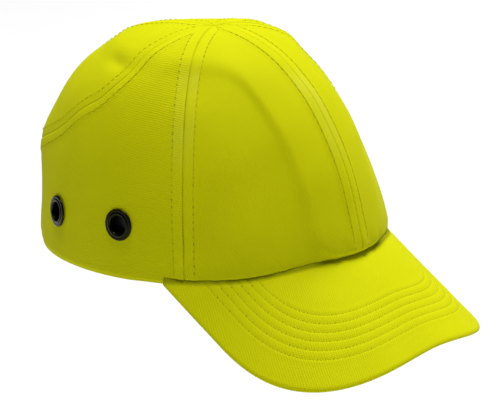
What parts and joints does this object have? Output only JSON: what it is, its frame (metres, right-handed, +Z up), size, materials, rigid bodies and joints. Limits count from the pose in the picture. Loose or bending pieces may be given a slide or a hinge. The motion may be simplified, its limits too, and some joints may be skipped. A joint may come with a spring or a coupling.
{
  "type": "bump cap",
  "caption": "Fabric peaked cap with side vents, an adjustable rear strap and a removable impact shell lined with foam pads.",
  "frame": {"origin": "centre of the head opening, on the plane of the crown's lower edge, where the cap sits on the head", "axes": "+Z up through the crown, peak towards -Y, the wearer's left towards +X"},
  "size_m": [0.1764, 0.2615, 0.1659],
  "materials": {
    "hi_vis_twill": "hi-vis lime-yellow twill, matt",
    "hi_vis_lining": "hi-vis lime-yellow twill, underside",
    "seam_tape": "black bias tape",
    "sweatband_cloth": "black terry",
    "eyelet_metal": "dark bronze, glossy",
    "peak_board_plastic": "white polyethylene sheet",
    "shell_plastic": "black moulded plastic, fine texture",
    "foam": "dark grey closed-cell foam",
    "hook_and_loop": "black hook-and-loop pile",
    "strap_cloth": "hi-vis lime-yellow twill strap"
  },
  "bodies": {
    "cover": {"front_panel_left": "hi_vis_twill", "side_panel_left": "hi_vis_twill", "back_panel_left": "hi_vis_twill", "front_panel_right": "hi_vis_twill", "side_panel_right": "hi_vis_twill", "back_panel_right": "hi_vis_twill", "rear_arch_binding": "hi_vis_lining", "front_seam_tape": "seam_tape", "back_seam_tape": "seam_tape", "side_seam_tape_left": "seam_tape", "band_seam_tape_left": "seam_tape", "side_seam_tape_right": "seam_tape", "band_seam_tape_right": "seam_tape", "sweatband_front": "sweatband_cloth", "sweatband_left": "sweatband_cloth", "sweatband_right": "sweatband_cloth", "eyelet_front_left": "eyelet_metal", "eyelet_washer_front_left": "eyelet_metal", "eyelet_rear_left": "eyelet_metal", "eyelet_washer_rear_left": "eyelet_metal", "eyelet_front_right": "eyelet_metal", "eyelet_washer_front_right": "eyelet_metal", "eyelet_rear_right": "eyelet_metal", "eyelet_washer_rear_right": "eyelet_metal", "peak_top_cover": "hi_vis_twill", "peak_board": "peak_board_plastic", "peak_under_cover": "hi_vis_lining", "strap_inner": "strap_cloth", "loop_patch": "hook_and_loop", "strap_outer_root": "strap_cloth"},
    "insert": {"impact_shell": "shell_plastic", "foam_pad_front": "foam", "foam_pad_left": "foam", "foam_pad_right": "foam", "foam_pad_rear": "foam", "foam_pad_crown": "foam"},
    "strap_flap": {"strap_outer": "strap_cloth", "hook_patch": "hook_and_loop"}
  },
  "joints": [
    {"name": "insert_slide", "type": "slide", "parent": "cover", "child": "insert", "axis": [0, 0, -1], "range_m": [0, 0.15]},
    {"name": "strap_peel", "type": "hinge", "parent": "cover", "child": "strap_flap", "pos_m": [-0.0255, 0.1026, 0.012], "axis": [0, 0, 1], "range_deg": [0, 120]}
  ]
}
